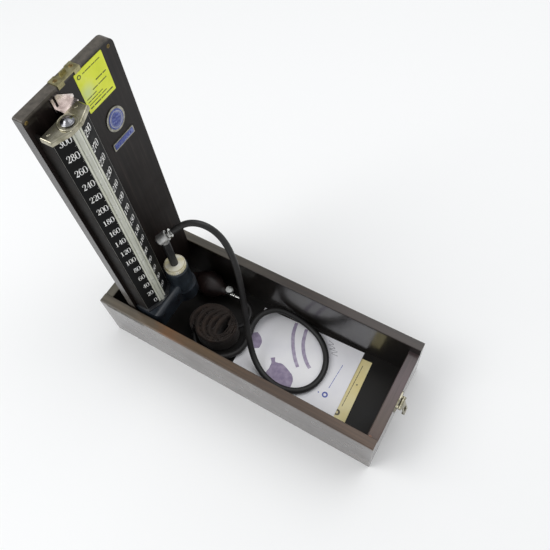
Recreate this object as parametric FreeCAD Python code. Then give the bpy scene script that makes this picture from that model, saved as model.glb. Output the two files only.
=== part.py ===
"""Desk mercury sphygmomanometer in a long wooden case, millimetres, +Z up.

A narrow open tray holds a lid board that pivots near its left end. The lid carries the
manometer: a roof-shaped scale column with a glass tube, a nickel head bracket, an iron foot
and a mercury reservoir with an elbow for the air hose. The hose, rolled cuff, inflation bulb
and two leaflets lie in the tray. The origin is the centre of the tray's underside.
"""
import FreeCAD, Part
import math
import os

V = FreeCAD.Vector

# Driving dimensions of the tray. Places below are counted from its left end, front and underside.
LENGTH, WIDTH, HEIGHT = 381.0, 140.0, 83.0
WALL = 12.0
RIGHT_WALL = 13.5
FLOOR = 6.0
RIGHT_WALL_TOP = 70.5
EDGE_ROUND = 1.2

# Lid board, standing open at rest, and the pivot that it turns on.
LID_BACK, LID_FRONT = 38.5, 49.0
LID_GAP = 0.6
LID_BOTTOM, LID_TOP = 52.0, 416.0
LID_CORNER, SHARP_CORNER = 9.0, 2.0
PIVOT_X, PIVOT_Z = 41.5, 80.0
PIN_R, PIN_CLEAR = 1.6, 0.05

# Scale column: a hollow roof-shaped case standing on the lid's inner face.
COLUMN_Y0, COLUMN_Y1 = 17.0, 61.0
COLUMN_Z0, COLUMN_Z1 = 88.0, 396.5
EAVE_X, RIDGE_X = 66.0, 73.0
TUBE_Y = (COLUMN_Y0 + COLUMN_Y1) / 2
STRIP_HALF = 5.6
SCALE_THICK = 0.8
LIP_THICK = 0.6
TUBE_X, TUBE_R, TUBE_BORE_R = 72.4, 3.2, 1.8

# Reservoir, stem and elbow, on one upright axis beside the column.
RES_X, RES_Y = 73.5, 76.0
RES_R, RES_Z0, RES_Z1 = 15.0, 56.0, 113.0
RES_WALL = 1.6
CAP_R, CAP_Z1 = 13.8, 121.0
STEM_R, STEM_Z1 = 5.0, 169.8
ELBOW_Z = 178.7
ELBOW_AZIMUTH, ELBOW_RISE = 52.0, 24.0
HOSE_D = 8.0
NOZZLE_END = 13.0

# Contents of the tray.
CUFF_CENTRE = (127.0, 58.0)
CUFF_HALF = (36.0, 30.0)
CUFF_TOP = 36.0
BULB_R, BULB_LENGTH = 17.5, 54.0
BULB_X1, BULB_Y, BULB_Z = 114.0, 109.0, 24.0
VALVE_R = 5.0
BULB_TUBE_D = 5.5
LEAFLET = (166.6, 314.6, 19.5, 124.5)
CARD = (205.0, 329.0, 19.0, 117.0)
PAPER_THICK, CARD_THICK = 0.5, 0.8

# Route of the air hose from a little beyond the elbow's nozzle, chosen by hand. It arches over the tray,
# lies in one loop on the leaflet and curls round the rolled cuff, into which it runs.
HOSE_ROUTE = [
    (94.5, 100.7, 191.0), (106.5, 106.9, 189.7), (119.3, 110.9, 181.3), (130.7, 112.0, 166.5),
    (140.5, 109.0, 148.0), (148.5, 103.5, 126.0), (155.5, 96.0, 102.5), (163.0, 86.0, 78.5),
    (171.0, 73.5, 55.5), (180.5, 60.5, 36.5), (191.5, 48.5, 22.5), (206.5, 38.0, 14.0),
    (224.0, 31.5, 11.6), (243.0, 29.8, 11.4), (264.0, 36.0, 11.4), (278.5, 52.5, 11.4),
    (282.0, 75.0, 11.4), (274.0, 97.0, 11.4), (256.0, 114.0, 11.6), (232.0, 121.8, 14.0),
    (209.5, 122.8, 19.5), (188.5, 120.0, 24.0), (172.5, 106.0, 22.5), (167.5, 88.5, 18.5),
    (171.5, 68.5, 13.0), (172.0, 49.5, 12.0), (161.0, 33.5, 12.5), (145.0, 23.5, 13.5),
    (126.5, 21.6, 14.5), (113.2, 27.8, 15.2), (105.5, 38.0, 15.5),
]

# Route of the bulb's tube, from the release valve's tail round into the cuff's rear side.
BULB_TUBE_ROUTE = [
    (134.0, 109.0, 24.0), (146.0, 108.5, 23.5), (157.5, 101.0, 22.5), (162.0, 88.5, 21.5),
    (158.0, 76.0, 20.5), (147.0, 67.5, 20.0),
]


def block(x0, x1, y0, y1, z0, z1):
    return Part.makeBox(x1 - x0, y1 - y0, z1 - z0, V(x0, y0, z0))


def rod(base, axis, radius, length):
    return Part.makeCylinder(radius, length, V(*base), V(*axis))


def outline(points):
    """A closed flat wire through points, as a face."""
    corners = [V(*p) for p in points]
    return Part.Face(Part.makePolygon(corners + corners[:1]))


def rounded(shape, radius, wanted):
    """Round the edges for which wanted(edge) is true."""
    edges = [e for e in shape.Edges if wanted(e)]
    return shape.makeFillet(radius, edges) if edges else shape


def along(edge, axis):
    """True where a straight edge runs along axis."""
    if not isinstance(edge.Curve, Part.Line):
        return False
    return abs(edge.Curve.Direction.dot(V(*axis))) > 0.999


def lathe(profile, base, axis):
    """Turn a half profile of (radius, height) points about axis through base."""
    face = outline([(r, 0, h) for r, h in profile])
    solid = face.revolve(V(0, 0, 0), V(0, 0, 1), 360)
    solid.Placement = FreeCAD.Placement(V(*base), FreeCAD.Rotation(V(0, 0, 1), V(*axis)))
    return solid


def knurl(shape, base, axis, radius, length, count, bite):
    """Cut count straight flutes into a round head."""
    turn = FreeCAD.Rotation(V(0, 0, 1), V(*axis))
    flutes = []
    for i in range(count):
        a = 2 * math.pi * i / count
        spot = turn.multVec(V((radius + bite) * math.cos(a), (radius + bite) * math.sin(a), 0))
        flutes.append(Part.makeCylinder(2 * bite, length, V(*base) + spot, V(*axis)))
    return shape.cut(Part.makeCompound(flutes))


def screw(base, axis, head_r, depth):
    """A countersunk slotted screw; base is the centre of its head, axis points out of it."""
    profile = [(0, 0.5), (head_r * 0.8, 0.3), (head_r, 0), (head_r * 0.5, -1.2),
               (head_r * 0.45, -depth), (0, -depth)]
    body = lathe(profile, base, axis)
    slot = Part.makeBox(head_r * 2.4, 0.6, 1.0, V(-head_r * 1.2, -0.3, 0.0))
    slot.Placement = FreeCAD.Placement(V(*base), FreeCAD.Rotation(V(0, 0, 1), V(*axis)))
    return body.cut(slot)


def cord(route, diameter, label):
    """A tube along straight runs joined by tangent arcs; prints the arcs' radii."""
    pts = [V(*p) for p in route]
    edges, start, radii = [], pts[0], []
    for before, corner, after in zip(pts, pts[1:], pts[2:]):
        a, b = corner - before, after - corner
        half = a.getAngle(b) / 2
        cut = 0.45 * min(a.Length, b.Length)
        radius = cut / math.tan(half)
        a.normalize()
        b.normalize()
        first, last = corner - a * cut, corner + b * cut
        inward = (b - a)
        inward.normalize()
        centre = corner + inward * (radius / math.cos(half))
        middle = centre - inward * radius
        edges.append(Part.LineSegment(start, first).toShape())
        edges.append(Part.Arc(first, middle, last).toShape())
        radii.append(round(radius, 1))
        start = last
    edges.append(Part.LineSegment(start, pts[-1]).toShape())
    path = Part.Wire(edges)
    ring = Part.Wire(Part.Circle(pts[0], pts[1] - pts[0], diameter / 2).toShape())
    tube = path.makePipeShell([ring], True, False)
    section = math.pi * diameter ** 2 / 4
    print(label, "length", round(path.Length, 1), "radii", radii,
          "volume / (section x length)", round(tube.Volume / (section * path.Length), 4))
    return tube


def case_walls():
    """Four square boards butted at the corners, with worn rims, and the floor board between."""
    def wall(x0, x1, y0, y1, top, axis):
        board = block(x0, x1, y0, y1, 0, top)
        return rounded(board, EDGE_ROUND, lambda e: along(e, axis) and e.BoundBox.ZMin > 1)
    front = wall(0, LENGTH, 0, WALL, HEIGHT, (1, 0, 0))
    rear = wall(0, LENGTH, WIDTH - WALL, WIDTH, HEIGHT, (1, 0, 0))
    left = wall(0, WALL, WALL, WIDTH - WALL, HEIGHT, (0, 1, 0))
    right = wall(LENGTH - RIGHT_WALL, LENGTH, WALL, WIDTH - WALL, RIGHT_WALL_TOP, (0, 1, 0))
    floor = block(WALL, LENGTH - RIGHT_WALL, WALL, WIDTH - WALL, 0, FLOOR)
    return front, rear, left, right, floor


STRIP_X = (10.0, 69.0)
REAR_STRIP_X = (20.0, 99.0)
STRIP_Z = (75.5, 82.1)
STRIP_DEPTH = 1.5


def pivot_hardware(front, rear):
    """Steel strips let into the walls and the two pins that the lid turns on."""
    front_strip = block(*STRIP_X, 0, STRIP_DEPTH, *STRIP_Z)
    rear_strip = block(*REAR_STRIP_X, WIDTH - WALL, WIDTH - WALL + STRIP_DEPTH, *STRIP_Z)
    reach = 8.0
    front_pin = rod((PIVOT_X, 0, PIVOT_Z), (0, 1, 0), PIN_R, WALL + reach)
    rear_pin = rod((PIVOT_X, WIDTH, PIVOT_Z), (0, -1, 0), PIN_R, WALL + reach)
    return (front.cut(front_strip).cut(front_pin), rear.cut(rear_strip).cut(rear_pin),
            front_strip.cut(front_pin), rear_strip.cut(rear_pin), front_pin, rear_pin)


def sharp(edge):
    """The lid's upper front corner, which is left nearly square."""
    return edge.BoundBox.ZMin > LID_TOP - 0.1 and edge.BoundBox.YMin < WIDTH / 2


def lid_board():
    """The flat board with rounded corners and blind holes for the two pins."""
    y0, y1 = WALL + LID_GAP, WIDTH - WALL - LID_GAP
    board = block(LID_BACK, LID_FRONT, y0, y1, LID_BOTTOM, LID_TOP)
    def corner(edge):
        return along(edge, (1, 0, 0))
    board = rounded(board, LID_CORNER, lambda e: corner(e) and not sharp(e))
    board = rounded(board, SHARP_CORNER, lambda e: corner(e) and sharp(e))
    reach = 8.6
    for y, way in ((y0 - 1, 1), (y1 + 1, -1)):
        board = board.cut(rod((PIVOT_X, y, PIVOT_Z), (0, way, 0), PIN_R + PIN_CLEAR, reach + 1))
    return board


PLATE = 1.2
PLATE_Y = WIDTH / 2


def lid_catch():
    """Bow-tie strike plate on the lid's top edge, lipped over its face, and its two screws."""
    x0, x1, half = LID_BACK + 0.5, LID_FRONT, 14.0
    middle, waist, bite = (x0 + x1) / 2, 6.5, 2.6
    points = [(x0, -half), (x0, -waist), (x0 + bite, -waist + 2), (x0 + bite, waist - 2),
              (x0, waist), (x0, half), (x1 + PLATE, half), (x1 + PLATE, -half)]
    face = outline([(x, PLATE_Y + u, LID_TOP) for x, u in points])
    plate = face.extrude(V(0, 0, PLATE))
    lips = [block(x1, x1 + PLATE, PLATE_Y + u, PLATE_Y + u + 7.5, LID_TOP - 3.4, LID_TOP)
            for u in (-half, half - 7.5)]
    lug = block(middle - 1.0, middle + 0.6, PLATE_Y - 3.5, PLATE_Y + 3.5, LID_TOP, LID_TOP + 4.0)
    plate = plate.fuse(lips + [lug]).removeSplitter()
    screws = [screw((middle, PLATE_Y + s * 10.0, LID_TOP + PLATE), (0, 0, 1), 2.2, 7.0)
              for s in (-1, 1)]
    return plate, screws


def thin_plate(y0, y1, z0, z1, thick, corner):
    plate = block(LID_FRONT, LID_FRONT + thick, y0, y1, z0, z1)
    return rounded(plate, corner, lambda e: along(e, (1, 0, 0)))


def oval_plate(centre_y, centre_z, half_y, half_z, thick):
    big, small = max(half_y, half_z), min(half_y, half_z)
    ring = Part.Ellipse(V(0, 0, 0), big, small).toShape()
    slab = Part.Face(Part.Wire(ring)).extrude(V(0, 0, thick))
    slab.Placement = FreeCAD.Placement(
        V(LID_FRONT, centre_y, centre_z), FreeCAD.Rotation(V(0, 0, -1), V(0, 1, 0), V(1, 0, 0)))
    return slab


def scale_column():
    """The hollow black case, two sloping scale plates and the pale channel round the tube."""
    def prism(points):
        return outline([(x, y, COLUMN_Z0) for x, y in points]).extrude(
            V(0, 0, COLUMN_Z1 - COLUMN_Z0))
    s0, s1 = TUBE_Y - STRIP_HALF, TUBE_Y + STRIP_HALF
    under = SCALE_THICK
    case = prism([(LID_FRONT, COLUMN_Y0), (EAVE_X - under, COLUMN_Y0), (RIDGE_X - under, s0),
                  (RIDGE_X - under, s1), (EAVE_X - under, COLUMN_Y1), (LID_FRONT, COLUMN_Y1)])
    groove = prism([(RIDGE_X - 5, s0 + 1), (RIDGE_X, s0 + 1), (RIDGE_X, s1 - 1),
                    (RIDGE_X - 5, s1 - 1)])
    hollow = prism([(LID_FRONT, COLUMN_Y0 + 2), (EAVE_X - 3, COLUMN_Y0 + 2), (EAVE_X + 0.5, s0 + 1),
                    (EAVE_X + 0.5, s1 - 1), (EAVE_X - 3, COLUMN_Y1 - 2), (LID_FRONT, COLUMN_Y1 - 2)])
    case = case.cut(groove).cut(hollow)
    left = prism([(EAVE_X - under, COLUMN_Y0), (EAVE_X, COLUMN_Y0), (RIDGE_X, s0 + 0.9),
                  (RIDGE_X - under, s0 + 0.9), (RIDGE_X - under, s0)])
    right = prism([(EAVE_X - under, COLUMN_Y1), (EAVE_X, COLUMN_Y1), (RIDGE_X, s1 - 0.9),
                   (RIDGE_X - under, s1 - 0.9), (RIDGE_X - under, s1)])
    backing = block(RIDGE_X - 5, RIDGE_X - 4, s0 + 1, s1 - 1, COLUMN_Z0, COLUMN_Z1)
    lip_z0, lip_z1 = FOOT_Z1 + 3.0, HEAD_Z0 - SKIRT_DROP - 0.4
    for wall0, lip0, lip1 in ((s0 + 1, s0, s0 + 2), (s1 - 1.9, s1 - 2, s1)):
        wall = block(RIDGE_X - 5, RIDGE_X + LIP_THICK, wall0, wall0 + 0.9, lip_z0, lip_z1)
        lip = block(RIDGE_X, RIDGE_X + LIP_THICK, lip0, lip1, lip_z0, lip_z1)
        backing = backing.fuse(wall).fuse(lip)
    return case, left, right, backing.removeSplitter()


def glass_parts():
    """The glass tube between two washers, with the mercury standing at the zero mark."""
    low, high = COLUMN_Z0 + 2, COLUMN_Z1 - 2
    tube = rod((TUBE_X, TUBE_Y, low), (0, 0, 1), TUBE_R, high - low)
    tube = tube.cut(rod((TUBE_X, TUBE_Y, low), (0, 0, 1), TUBE_BORE_R, high - low))
    mercury = rod((TUBE_X, TUBE_Y, low), (0, 0, 1), TUBE_BORE_R, 9.5)
    washers = [rod((TUBE_X, TUBE_Y, z), (0, 0, 1), TUBE_R, 2.0) for z in (COLUMN_Z0, high)]
    return tube, mercury, washers


HEAD_Z0, HEAD_Z1 = 396.5, 399.1
SKIRT_DROP = 2.0
BOSS_HIGH = 0.6
HEAD_BACK = 57.5
NUT_X = 67.5


def head_bracket():
    """Nickel cap over the column's top: a plate with a skirt that follows the roof shape."""
    def roof(grow, front, back):
        return [(back, COLUMN_Y0 - grow), (EAVE_X + front, COLUMN_Y0 - grow),
                (RIDGE_X + front, TUBE_Y - STRIP_HALF - 1), (RIDGE_X + front, TUBE_Y + STRIP_HALF + 1),
                (EAVE_X + front, COLUMN_Y1 + grow), (back, COLUMN_Y1 + grow)]
    def prism(points, z0, z1):
        return outline([(x, y, z0) for x, y in points]).extrude(V(0, 0, z1 - z0))
    shell = prism(roof(2.0, 3.4, HEAD_BACK), HEAD_Z0 - SKIRT_DROP, HEAD_Z1)
    shell = rounded(shell, 1.6, lambda e: abs(e.BoundBox.ZMin - HEAD_Z1) < 0.01
                    and e.BoundBox.XMax > HEAD_BACK + 1)
    shell = shell.cut(prism(roof(0.0, 0.2, HEAD_BACK - 1), HEAD_Z0 - SKIRT_DROP, HEAD_Z0))
    shell = shell.cut(rod((TUBE_X, TUBE_Y, HEAD_Z0 - SKIRT_DROP), (0, 0, 1), TUBE_R + 0.3, SKIRT_DROP))
    boss = rod((NUT_X, TUBE_Y, HEAD_Z1 - 0.5), (0, 0, 1), 8.2, 0.5 + BOSS_HIGH)
    shell = shell.fuse(boss)
    spots = [(HEAD_BACK + 3.6, y, HEAD_Z1) for y in (COLUMN_Y0 + 4.5, COLUMN_Y1 - 4.5)]
    screws = [screw(spot, (0, 0, 1), 1.8, 6.0) for spot in spots]
    return shell.removeSplitter(), screws


def dome_nut():
    """Domed nut on a stud, over the tube's upper end."""
    base = (NUT_X, TUBE_Y, HEAD_Z1 + BOSS_HIGH)
    stud = rod(base, (0, 0, 1), 2.0, 2.4)
    profile = [(2.05, 0.3), (6.2, 0.3), (6.2, 1.4), (5.2, 1.7), (5.0, 2.2), (4.0, 3.1),
               (2.2, 3.7), (0, 3.9), (0, 2.6), (2.05, 2.6)]
    return stud, lathe(profile, base, (0, 0, 1))


def hanger_plate():
    """Bright angle plate that ties the column's head to the lid, with a split tongue."""
    z0, thick = 397.7, 1.4
    x = LID_FRONT
    leaf = outline([(x, 44.0, z0), (x, 66.0, z0), (x, 66.0, z0 + 3.0), (x, 52.0, z0 + 14.0),
                    (x, 44.0, z0 + 14.0)])
    leaf = leaf.extrude(V(thick, 0, 0))
    ledge = block(x, HEAD_BACK, 46.0, 64.0, z0, z0 + thick)
    slit = block(x, x + thick, 46.5, 49.0, z0 + 4.0, z0 + 14.0)
    return leaf.cut(slit).fuse(ledge).removeSplitter()


FOOT_Z0, FOOT_Z1 = 53.0, 88.0
FOOT_Y = (15.0, 95.0)


def foot():
    """Iron casting under the column, with a socket for the reservoir and a light top strip."""
    body = block(LID_FRONT, 83.0, FOOT_Y[0], 66.0, FOOT_Z0, FOOT_Z1)
    body = rounded(body, 6.0, lambda e: e.BoundBox.XMin > 82.9 or
                   (along(e, (1, 0, 0)) and e.BoundBox.ZMax < FOOT_Z0 + 1))
    boss = rod((RES_X, RES_Y, FOOT_Z0), (0, 0, 1), RES_R + 3.0, 20.0)
    neck = block(LID_FRONT, RES_X, RES_Y - 14, RES_Y + 12, FOOT_Z0, FOOT_Z0 + 20.0)
    casting = body.fuse([boss, neck]).removeSplitter()
    casting = casting.cut(rod((RES_X, RES_Y, RES_Z0), (0, 0, 1), RES_R, 80.0))
    s0, s1 = TUBE_Y - STRIP_HALF - 2, TUBE_Y + STRIP_HALF + 2
    rim = [(LID_FRONT + 2, FOOT_Y[0] + 0.5), (EAVE_X + 3, FOOT_Y[0] + 0.5), (RIDGE_X + 4, s0),
           (RIDGE_X + 4, s1), (EAVE_X + 3, 62.5), (LID_FRONT + 2, 62.5)]
    inner = [(LID_FRONT, COLUMN_Y0), (EAVE_X, COLUMN_Y0), (RIDGE_X, s0 + 2.9),
             (RIDGE_X, s1 - 2.9), (EAVE_X, COLUMN_Y1), (LID_FRONT, COLUMN_Y1)]
    def prism(points, high):
        return outline([(x, y, FOOT_Z1) for x, y in points]).extrude(V(0, 0, high))
    strip = prism(rim, 2.6).cut(prism(inner, 2.6))
    strip = strip.cut(rod((TUBE_X, TUBE_Y, FOOT_Z1), (0, 0, 1), TUBE_R + 0.2, 2.6))
    strip = strip.cut(rod((RES_X, RES_Y, FOOT_Z1), (0, 0, 1), RES_R + 0.4, 2.6))
    spots = [((83.0, 24.0, 77.0), (1, 0, 0)), ((83.0, 56.0, 77.0), (1, 0, 0))]
    holes = [screw(base, axis, 3.0, 9.0) for base, axis in spots]
    casting = casting.cut(Part.makeCompound(holes))
    return casting, strip, holes


def reservoir():
    """Turned iron pot with mercury in it, its knurled ivory cap, the stem and the elbow."""
    profile = [(0, RES_Z0), (RES_R - 1, RES_Z0), (RES_R, RES_Z0 + 1), (RES_R, RES_Z1 - 1.5),
               (RES_R - 1.5, RES_Z1), (RES_R - RES_WALL - 2, RES_Z1),
               (RES_R - RES_WALL - 2, RES_Z1 - 2.5), (RES_R - RES_WALL, RES_Z1 - 4),
               (RES_R - RES_WALL, RES_Z0 + 2), (0, RES_Z0 + 2)]
    pot = lathe(profile, (RES_X, RES_Y, 0), (0, 0, 1))
    mercury = rod((RES_X, RES_Y, RES_Z0 + 2), (0, 0, 1), RES_R - RES_WALL - 0.1, 38.0)
    plug_z0, plug_r = RES_Z1 - 2.5, RES_R - RES_WALL - 2
    plug = rod((RES_X, RES_Y, plug_z0), (0, 0, 1), plug_r, 2.5)
    stem = plug.fuse(rod((RES_X, RES_Y, plug_z0), (0, 0, 1), STEM_R, STEM_Z1 - plug_z0))
    stem = stem.cut(rod((RES_X, RES_Y, plug_z0), (0, 0, 1), 2.0, STEM_Z1 - plug_z0))
    z0 = RES_Z1 + 0.3
    bore = STEM_R + 0.1
    cap_profile = [(bore, z0), (CAP_R - 0.8, z0), (CAP_R, z0 + 0.8), (CAP_R, CAP_Z1 - 2.0),
                   (CAP_R - 1.6, CAP_Z1 - 0.4), (bore + 3.5, CAP_Z1), (bore, CAP_Z1)]
    cap = lathe(cap_profile, (RES_X, RES_Y, 0), (0, 0, 1))
    cap = knurl(cap, (RES_X, RES_Y, z0 - 1), (0, 0, 1), CAP_R, CAP_Z1 - z0 + 0.2, 36, 0.5)
    return pot, mercury, stem.removeSplitter(), cap


def elbow():
    """Chromed elbow: an upright socket on the stem and a rising barrel with a ringed nozzle."""
    ahead = (1, 0, 0)
    turn = FreeCAD.Rotation(V(0, 0, 1), ELBOW_AZIMUTH).multiply(
        FreeCAD.Rotation(V(0, 1, 0), -ELBOW_RISE))
    place = FreeCAD.Placement(V(RES_X, RES_Y, ELBOW_Z), turn)
    barrel = lathe([(0, -9.0), (4.4, -8.4), (6.6, -6.4), (6.6, 5.4), (4.6, 6.4), (0, 6.4)],
                   (0, 0, 0), ahead)
    nozzle = rod((5.0, 0, 0), ahead, 3.0, NOZZLE_END - 5.0)
    ring = rod((7.4, 0, 0), ahead, 5.8, 3.4).cut(rod((7.4, 0, 0), ahead, 3.0, 3.4))
    ring = rounded(ring, 0.8, lambda e: e.Length > 30)
    bore = rod((0, 0, 0), ahead, 1.6, NOZZLE_END + 1)
    for piece in (barrel, nozzle, ring, bore):
        piece.Placement = place.multiply(piece.Placement)
    socket = rod((RES_X, RES_Y, STEM_Z1), (0, 0, 1), STEM_R, ELBOW_Z - STEM_Z1)
    socket = socket.cut(rod((RES_X, RES_Y, STEM_Z1), (0, 0, 1), 2.0, ELBOW_Z - STEM_Z1))
    body = barrel.fuse([socket, nozzle]).cut(bore)
    lead = [place.multVec(V(NOZZLE_END + d, 0, 0)) for d in (0, 10)]
    return body, ring, [tuple(p) for p in lead]


CLASP_Z = 58.0
CLASP_OPEN = math.radians(14)


def clasp():
    """Case catch on the right end: a screwed base with a barrel, a pin and a swinging hasp."""
    x = LENGTH
    pin_x = x + 4.2
    base = block(x, x + 1.4, PLATE_Y - 12, PLATE_Y + 12, CLASP_Z - 9, CLASP_Z + 7)
    base = rounded(base, 2.5, lambda e: along(e, (1, 0, 0)))
    hole = rod((pin_x, PLATE_Y - 9, CLASP_Z), (0, 1, 0), 1.2, 18)
    for y0 in (PLATE_Y - 8.0, PLATE_Y + 5.0):
        barrel = rod((pin_x, y0, CLASP_Z), (0, 1, 0), 2.6, 3.0)
        web = block(x, pin_x, y0, y0 + 3.0, CLASP_Z - 2.0, CLASP_Z + 2.0)
        base = base.fuse(barrel.fuse(web))
    base = base.cut(hole).removeSplitter()
    pin = rod((pin_x, PLATE_Y - 8.0, CLASP_Z), (0, 1, 0), 1.2, 16.0)
    screws = [screw((x + 1.4, PLATE_Y + s * 8.6, CLASP_Z + dz), (1, 0, 0), 1.7, 6.0)
              for s, dz in ((-1, -5.6), (1, -5.6))]
    eye = rod((pin_x, PLATE_Y - 4.6, CLASP_Z), (0, 1, 0), 2.4, 9.2)
    eye_z = CLASP_Z
    leaf = block(pin_x + 1.2, pin_x + 2.5, PLATE_Y - 4.6, PLATE_Y + 4.6, eye_z - 21.0, eye_z)
    hook = block(pin_x - 1.0, pin_x + 2.5, PLATE_Y - 4.6, PLATE_Y + 4.6, eye_z - 22.3, eye_z - 21.0)
    hasp = eye.fuse([leaf, hook])
    window = block(pin_x, pin_x + 4, PLATE_Y - 2.2, PLATE_Y + 2.2, eye_z - 18.0, eye_z - 8.0)
    hasp = hasp.cut(window)
    hasp = hasp.cut(rod((pin_x, PLATE_Y - 9, CLASP_Z), (0, 1, 0), 1.25, 18)).removeSplitter()
    hasp.rotate(V(pin_x, PLATE_Y, CLASP_Z), V(0, 1, 0), -math.degrees(CLASP_OPEN))
    return base, pin, screws, hasp


def cuff_roll():
    """The folded cuff, rolled up and standing on its edge: an oval drum with soft edges."""
    ring = Part.Ellipse(V(*CUFF_CENTRE, FLOOR), *CUFF_HALF).toShape()
    drum = Part.Face(Part.Wire(ring)).extrude(V(0, 0, CUFF_TOP - FLOOR))
    return rounded(drum, 5.0, lambda e: e.BoundBox.ZLength < 0.1)


def bulb_set():
    """Rubber bulb with its air inlet, the release valve's body and its knurled screw."""
    steps = 12
    profile = [(0, 0), (4.5, 0), (6.0, 1.5)]
    for i in range(1, steps):
        t = i / steps
        profile.append((max(6.0, BULB_R * math.sin(math.pi * t) ** 0.62), 1.5 + t * BULB_LENGTH))
    profile += [(6.0, BULB_LENGTH + 1.5), (4.5, BULB_LENGTH + 3), (0, BULB_LENGTH + 3)]
    joint = (BULB_X1, BULB_Y, BULB_Z)
    bulb = lathe(profile, joint, (-1, 0, 0))
    far = (BULB_X1 - BULB_LENGTH - 3, BULB_Y, BULB_Z)
    inlet = lathe([(0, 0), (3.6, 0), (3.6, 2.2), (2.6, 3.0), (1.0, 3.0), (1.0, 1.5), (0, 1.5)],
                  far, (-1, 0, 0))
    valve = lathe([(0, 0), (4.6, 0), (VALVE_R, 1), (VALVE_R, 9), (4.0, 10), (4.0, 13),
                   (BULB_TUBE_D / 2, 14), (BULB_TUBE_D / 2, 20), (0, 20)], joint, (1, 0, 0))
    seat_x, up = BULB_X1 + 5.5, (0, 0, 1)
    valve = valve.fuse(rod((seat_x, BULB_Y, BULB_Z), up, 3.2, 8.0))
    valve = valve.cut(rod((seat_x, BULB_Y, BULB_Z + 3), up, 1.55, 9))
    knob_z = BULB_Z + 8.6
    knob = rod((seat_x, BULB_Y, knob_z), up, 5.2, 4.6)
    knob = knurl(knob, (seat_x, BULB_Y, knob_z - 1), up, 5.2, 7, 20, 0.45)
    knob = knob.fuse(rod((seat_x, BULB_Y, BULB_Z + 3.4), up, 1.5, 6.0)).removeSplitter()
    return bulb, inlet, valve.removeSplitter(), knob


def papers():
    """A folded leaflet lying over the corner of a cream card on the tray's floor."""
    card = block(CARD[0], CARD[1], CARD[2], CARD[3], FLOOR, FLOOR + CARD_THICK)
    card.rotate(V(CARD[1], CARD[3], FLOOR), V(0, 0, 1), 2.6)
    low = FLOOR + CARD_THICK + 0.05
    leaflet = block(LEAFLET[0], LEAFLET[1], LEAFLET[2], LEAFLET[3], low, low + PAPER_THICK)
    leaflet.rotate(V(LEAFLET[1], LEAFLET[3], low), V(0, 0, 1), 1.8)
    return card, leaflet


def build():
    front, rear, left, right, floor = case_walls()
    front, rear, front_strip, rear_strip, front_pin, rear_pin = pivot_hardware(front, rear)
    clasp_base, clasp_pin, clasp_screws, hasp = clasp()
    right = right.cut(Part.makeCompound(clasp_screws))
    clasp_base = clasp_base.cut(Part.makeCompound(clasp_screws))
    board = lid_board()
    strike, strike_screws = lid_catch()
    case, left_scale, right_scale, backing = scale_column()
    tube, tube_mercury, washers = glass_parts()
    bracket, bracket_screws = head_bracket()
    stud, nut = dome_nut()
    casting, strip, foot_screws = foot()
    pot, pot_mercury, stem, cap = reservoir()
    elbow_body, ring, hose_lead = elbow()
    corner_screws = [screw((LID_FRONT, y, LID_TOP - drop), (1, 0, 0), 1.9, 6.0)
                     for y, drop in ((WALL + 4.5, 4.5), (WIDTH - WALL - 8.0, 7.5))]
    lid_fixings = strike_screws + corner_screws
    board = board.cut(Part.makeCompound(lid_fixings))
    strike = strike.cut(Part.makeCompound(strike_screws))
    bracket = bracket.cut(Part.makeCompound(bracket_screws))
    case = case.cut(Part.makeCompound(bracket_screws))
    hose = cord(hose_lead + HOSE_ROUTE, HOSE_D, "hose")
    bulb, inlet, valve, knob = bulb_set()
    bulb_tube = cord(BULB_TUBE_ROUTE, BULB_TUBE_D, "bulb tube")
    card, leaflet = papers()
    group = Part.makeCompound
    return {
        "front_wall": front, "rear_wall": rear, "left_wall": left, "right_wall": right,
        "floor_board": floor, "front_pivot_strip": front_strip, "rear_pivot_strip": rear_strip,
        "front_pivot_pin": front_pin, "rear_pivot_pin": rear_pin, "clasp_base": clasp_base,
        "clasp_pin": clasp_pin, "clasp_screws": group(clasp_screws), "clasp_hasp": hasp,
        "leaflet": leaflet, "card": card, "rolled_cuff": cuff_roll(), "inflation_bulb": bulb,
        "bulb_air_inlet": inlet, "release_valve": valve, "release_screw": knob,
        "bulb_tube": bulb_tube, "air_hose": hose,
        "lid_board": board, "strike_plate": strike, "strike_screws": group(strike_screws),
        "lid_corner_screws": group(corner_screws),
        "yellow_label": thin_plate(74.5, 111.0, 368.0, 412.0, 0.3, 1.0),
        "oval_badge": oval_plate(97.0, 341.0, 12.2, 13.6, 1.0),
        "bar_badge": thin_plate(81.5, 112.5, 309.5, 318.5, 1.0, 0.8),
        "hanger_plate": hanger_plate(), "column_case": case, "scale_plate_left": left_scale,
        "scale_plate_right": right_scale, "tube_backing": backing, "glass_tube": tube,
        "tube_mercury": tube_mercury, "tube_washers": group(washers),
        "head_bracket": bracket, "bracket_screws": group(bracket_screws),
        "nut_stud": stud, "dome_nut": nut, "iron_foot": casting, "foot_strip": strip,
        "foot_screws": group(foot_screws), "reservoir_pot": pot,
        "reservoir_mercury": pot_mercury, "reservoir_stem": stem, "reservoir_cap": cap,
        "hose_elbow": elbow_body, "elbow_ring": ring,
    }


os.makedirs("parts", exist_ok=True)
for name, shape in build().items():
    shape.translate(V(-LENGTH / 2, -WIDTH / 2, 0))
    shape.exportStep("parts/" + name + ".step")
    print(name, "solids", len(shape.Solids), "valid", shape.isValid(),
          "volume", round(shape.Volume, 1))
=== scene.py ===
"""A desk mercury blood pressure monitor in its long wooden case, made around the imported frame.

Places are given in millimetres from the tray's left end, front face and underside, as a
cabinet maker would measure them, and at() turns them into the frame's metres.
"""
import math
import bpy
from mathutils import Matrix, Vector, noise


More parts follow.
